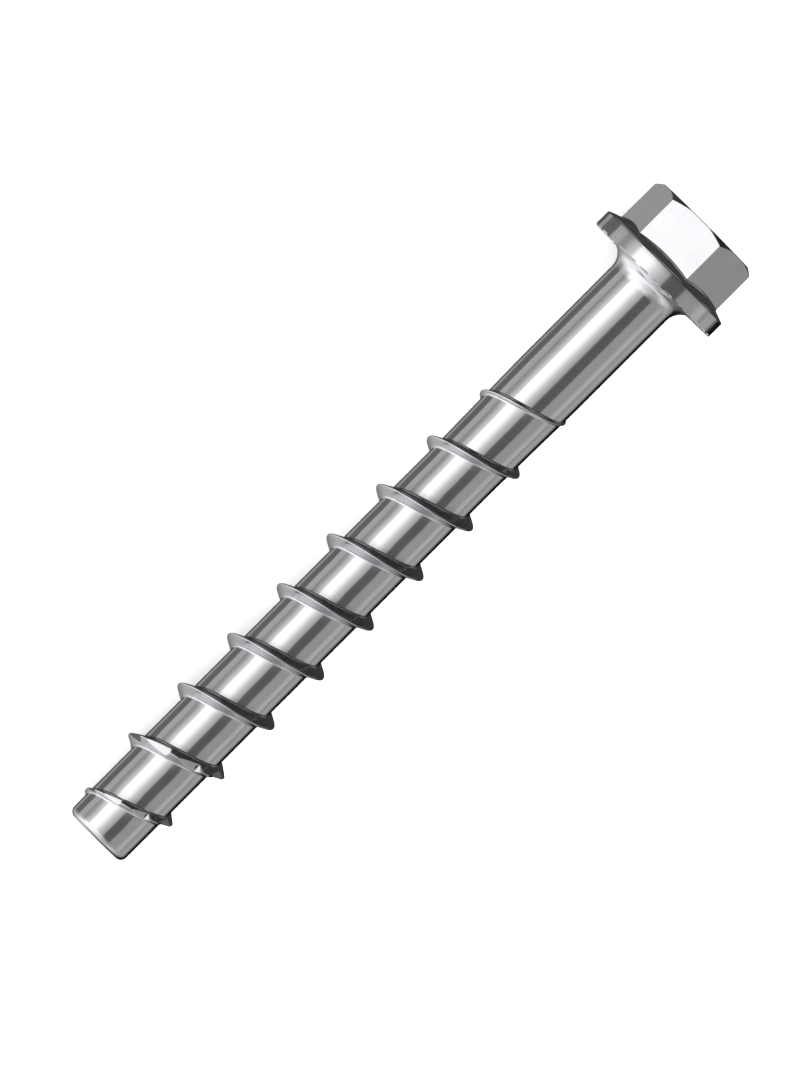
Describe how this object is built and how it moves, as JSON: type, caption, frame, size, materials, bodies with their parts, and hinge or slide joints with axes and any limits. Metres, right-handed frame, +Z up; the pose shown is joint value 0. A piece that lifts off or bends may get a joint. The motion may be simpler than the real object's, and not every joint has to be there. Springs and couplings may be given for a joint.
{
  "type": "concrete screw",
  "caption": "Concrete screw with a hexagon flange head, locking teeth under the flange, a plain shank and a coarse right-hand thread with saw-notched first turns.",
  "frame": {"origin": "centre of the bearing face under the flange, on the screw's axis", "axes": "the screw lies at rest on a level floor: +Z up, +X along the screw towards its tip, which dips 2.73 degrees, +Y to the side"},
  "size_m": [0.11, 0.0202, 0.0204],
  "materials": {
    "plated_steel": "bright zinc plated, clean"
  },
  "bodies": {
    "root": {"concrete_screw": "plated_steel"}
  },
  "joints": []
}
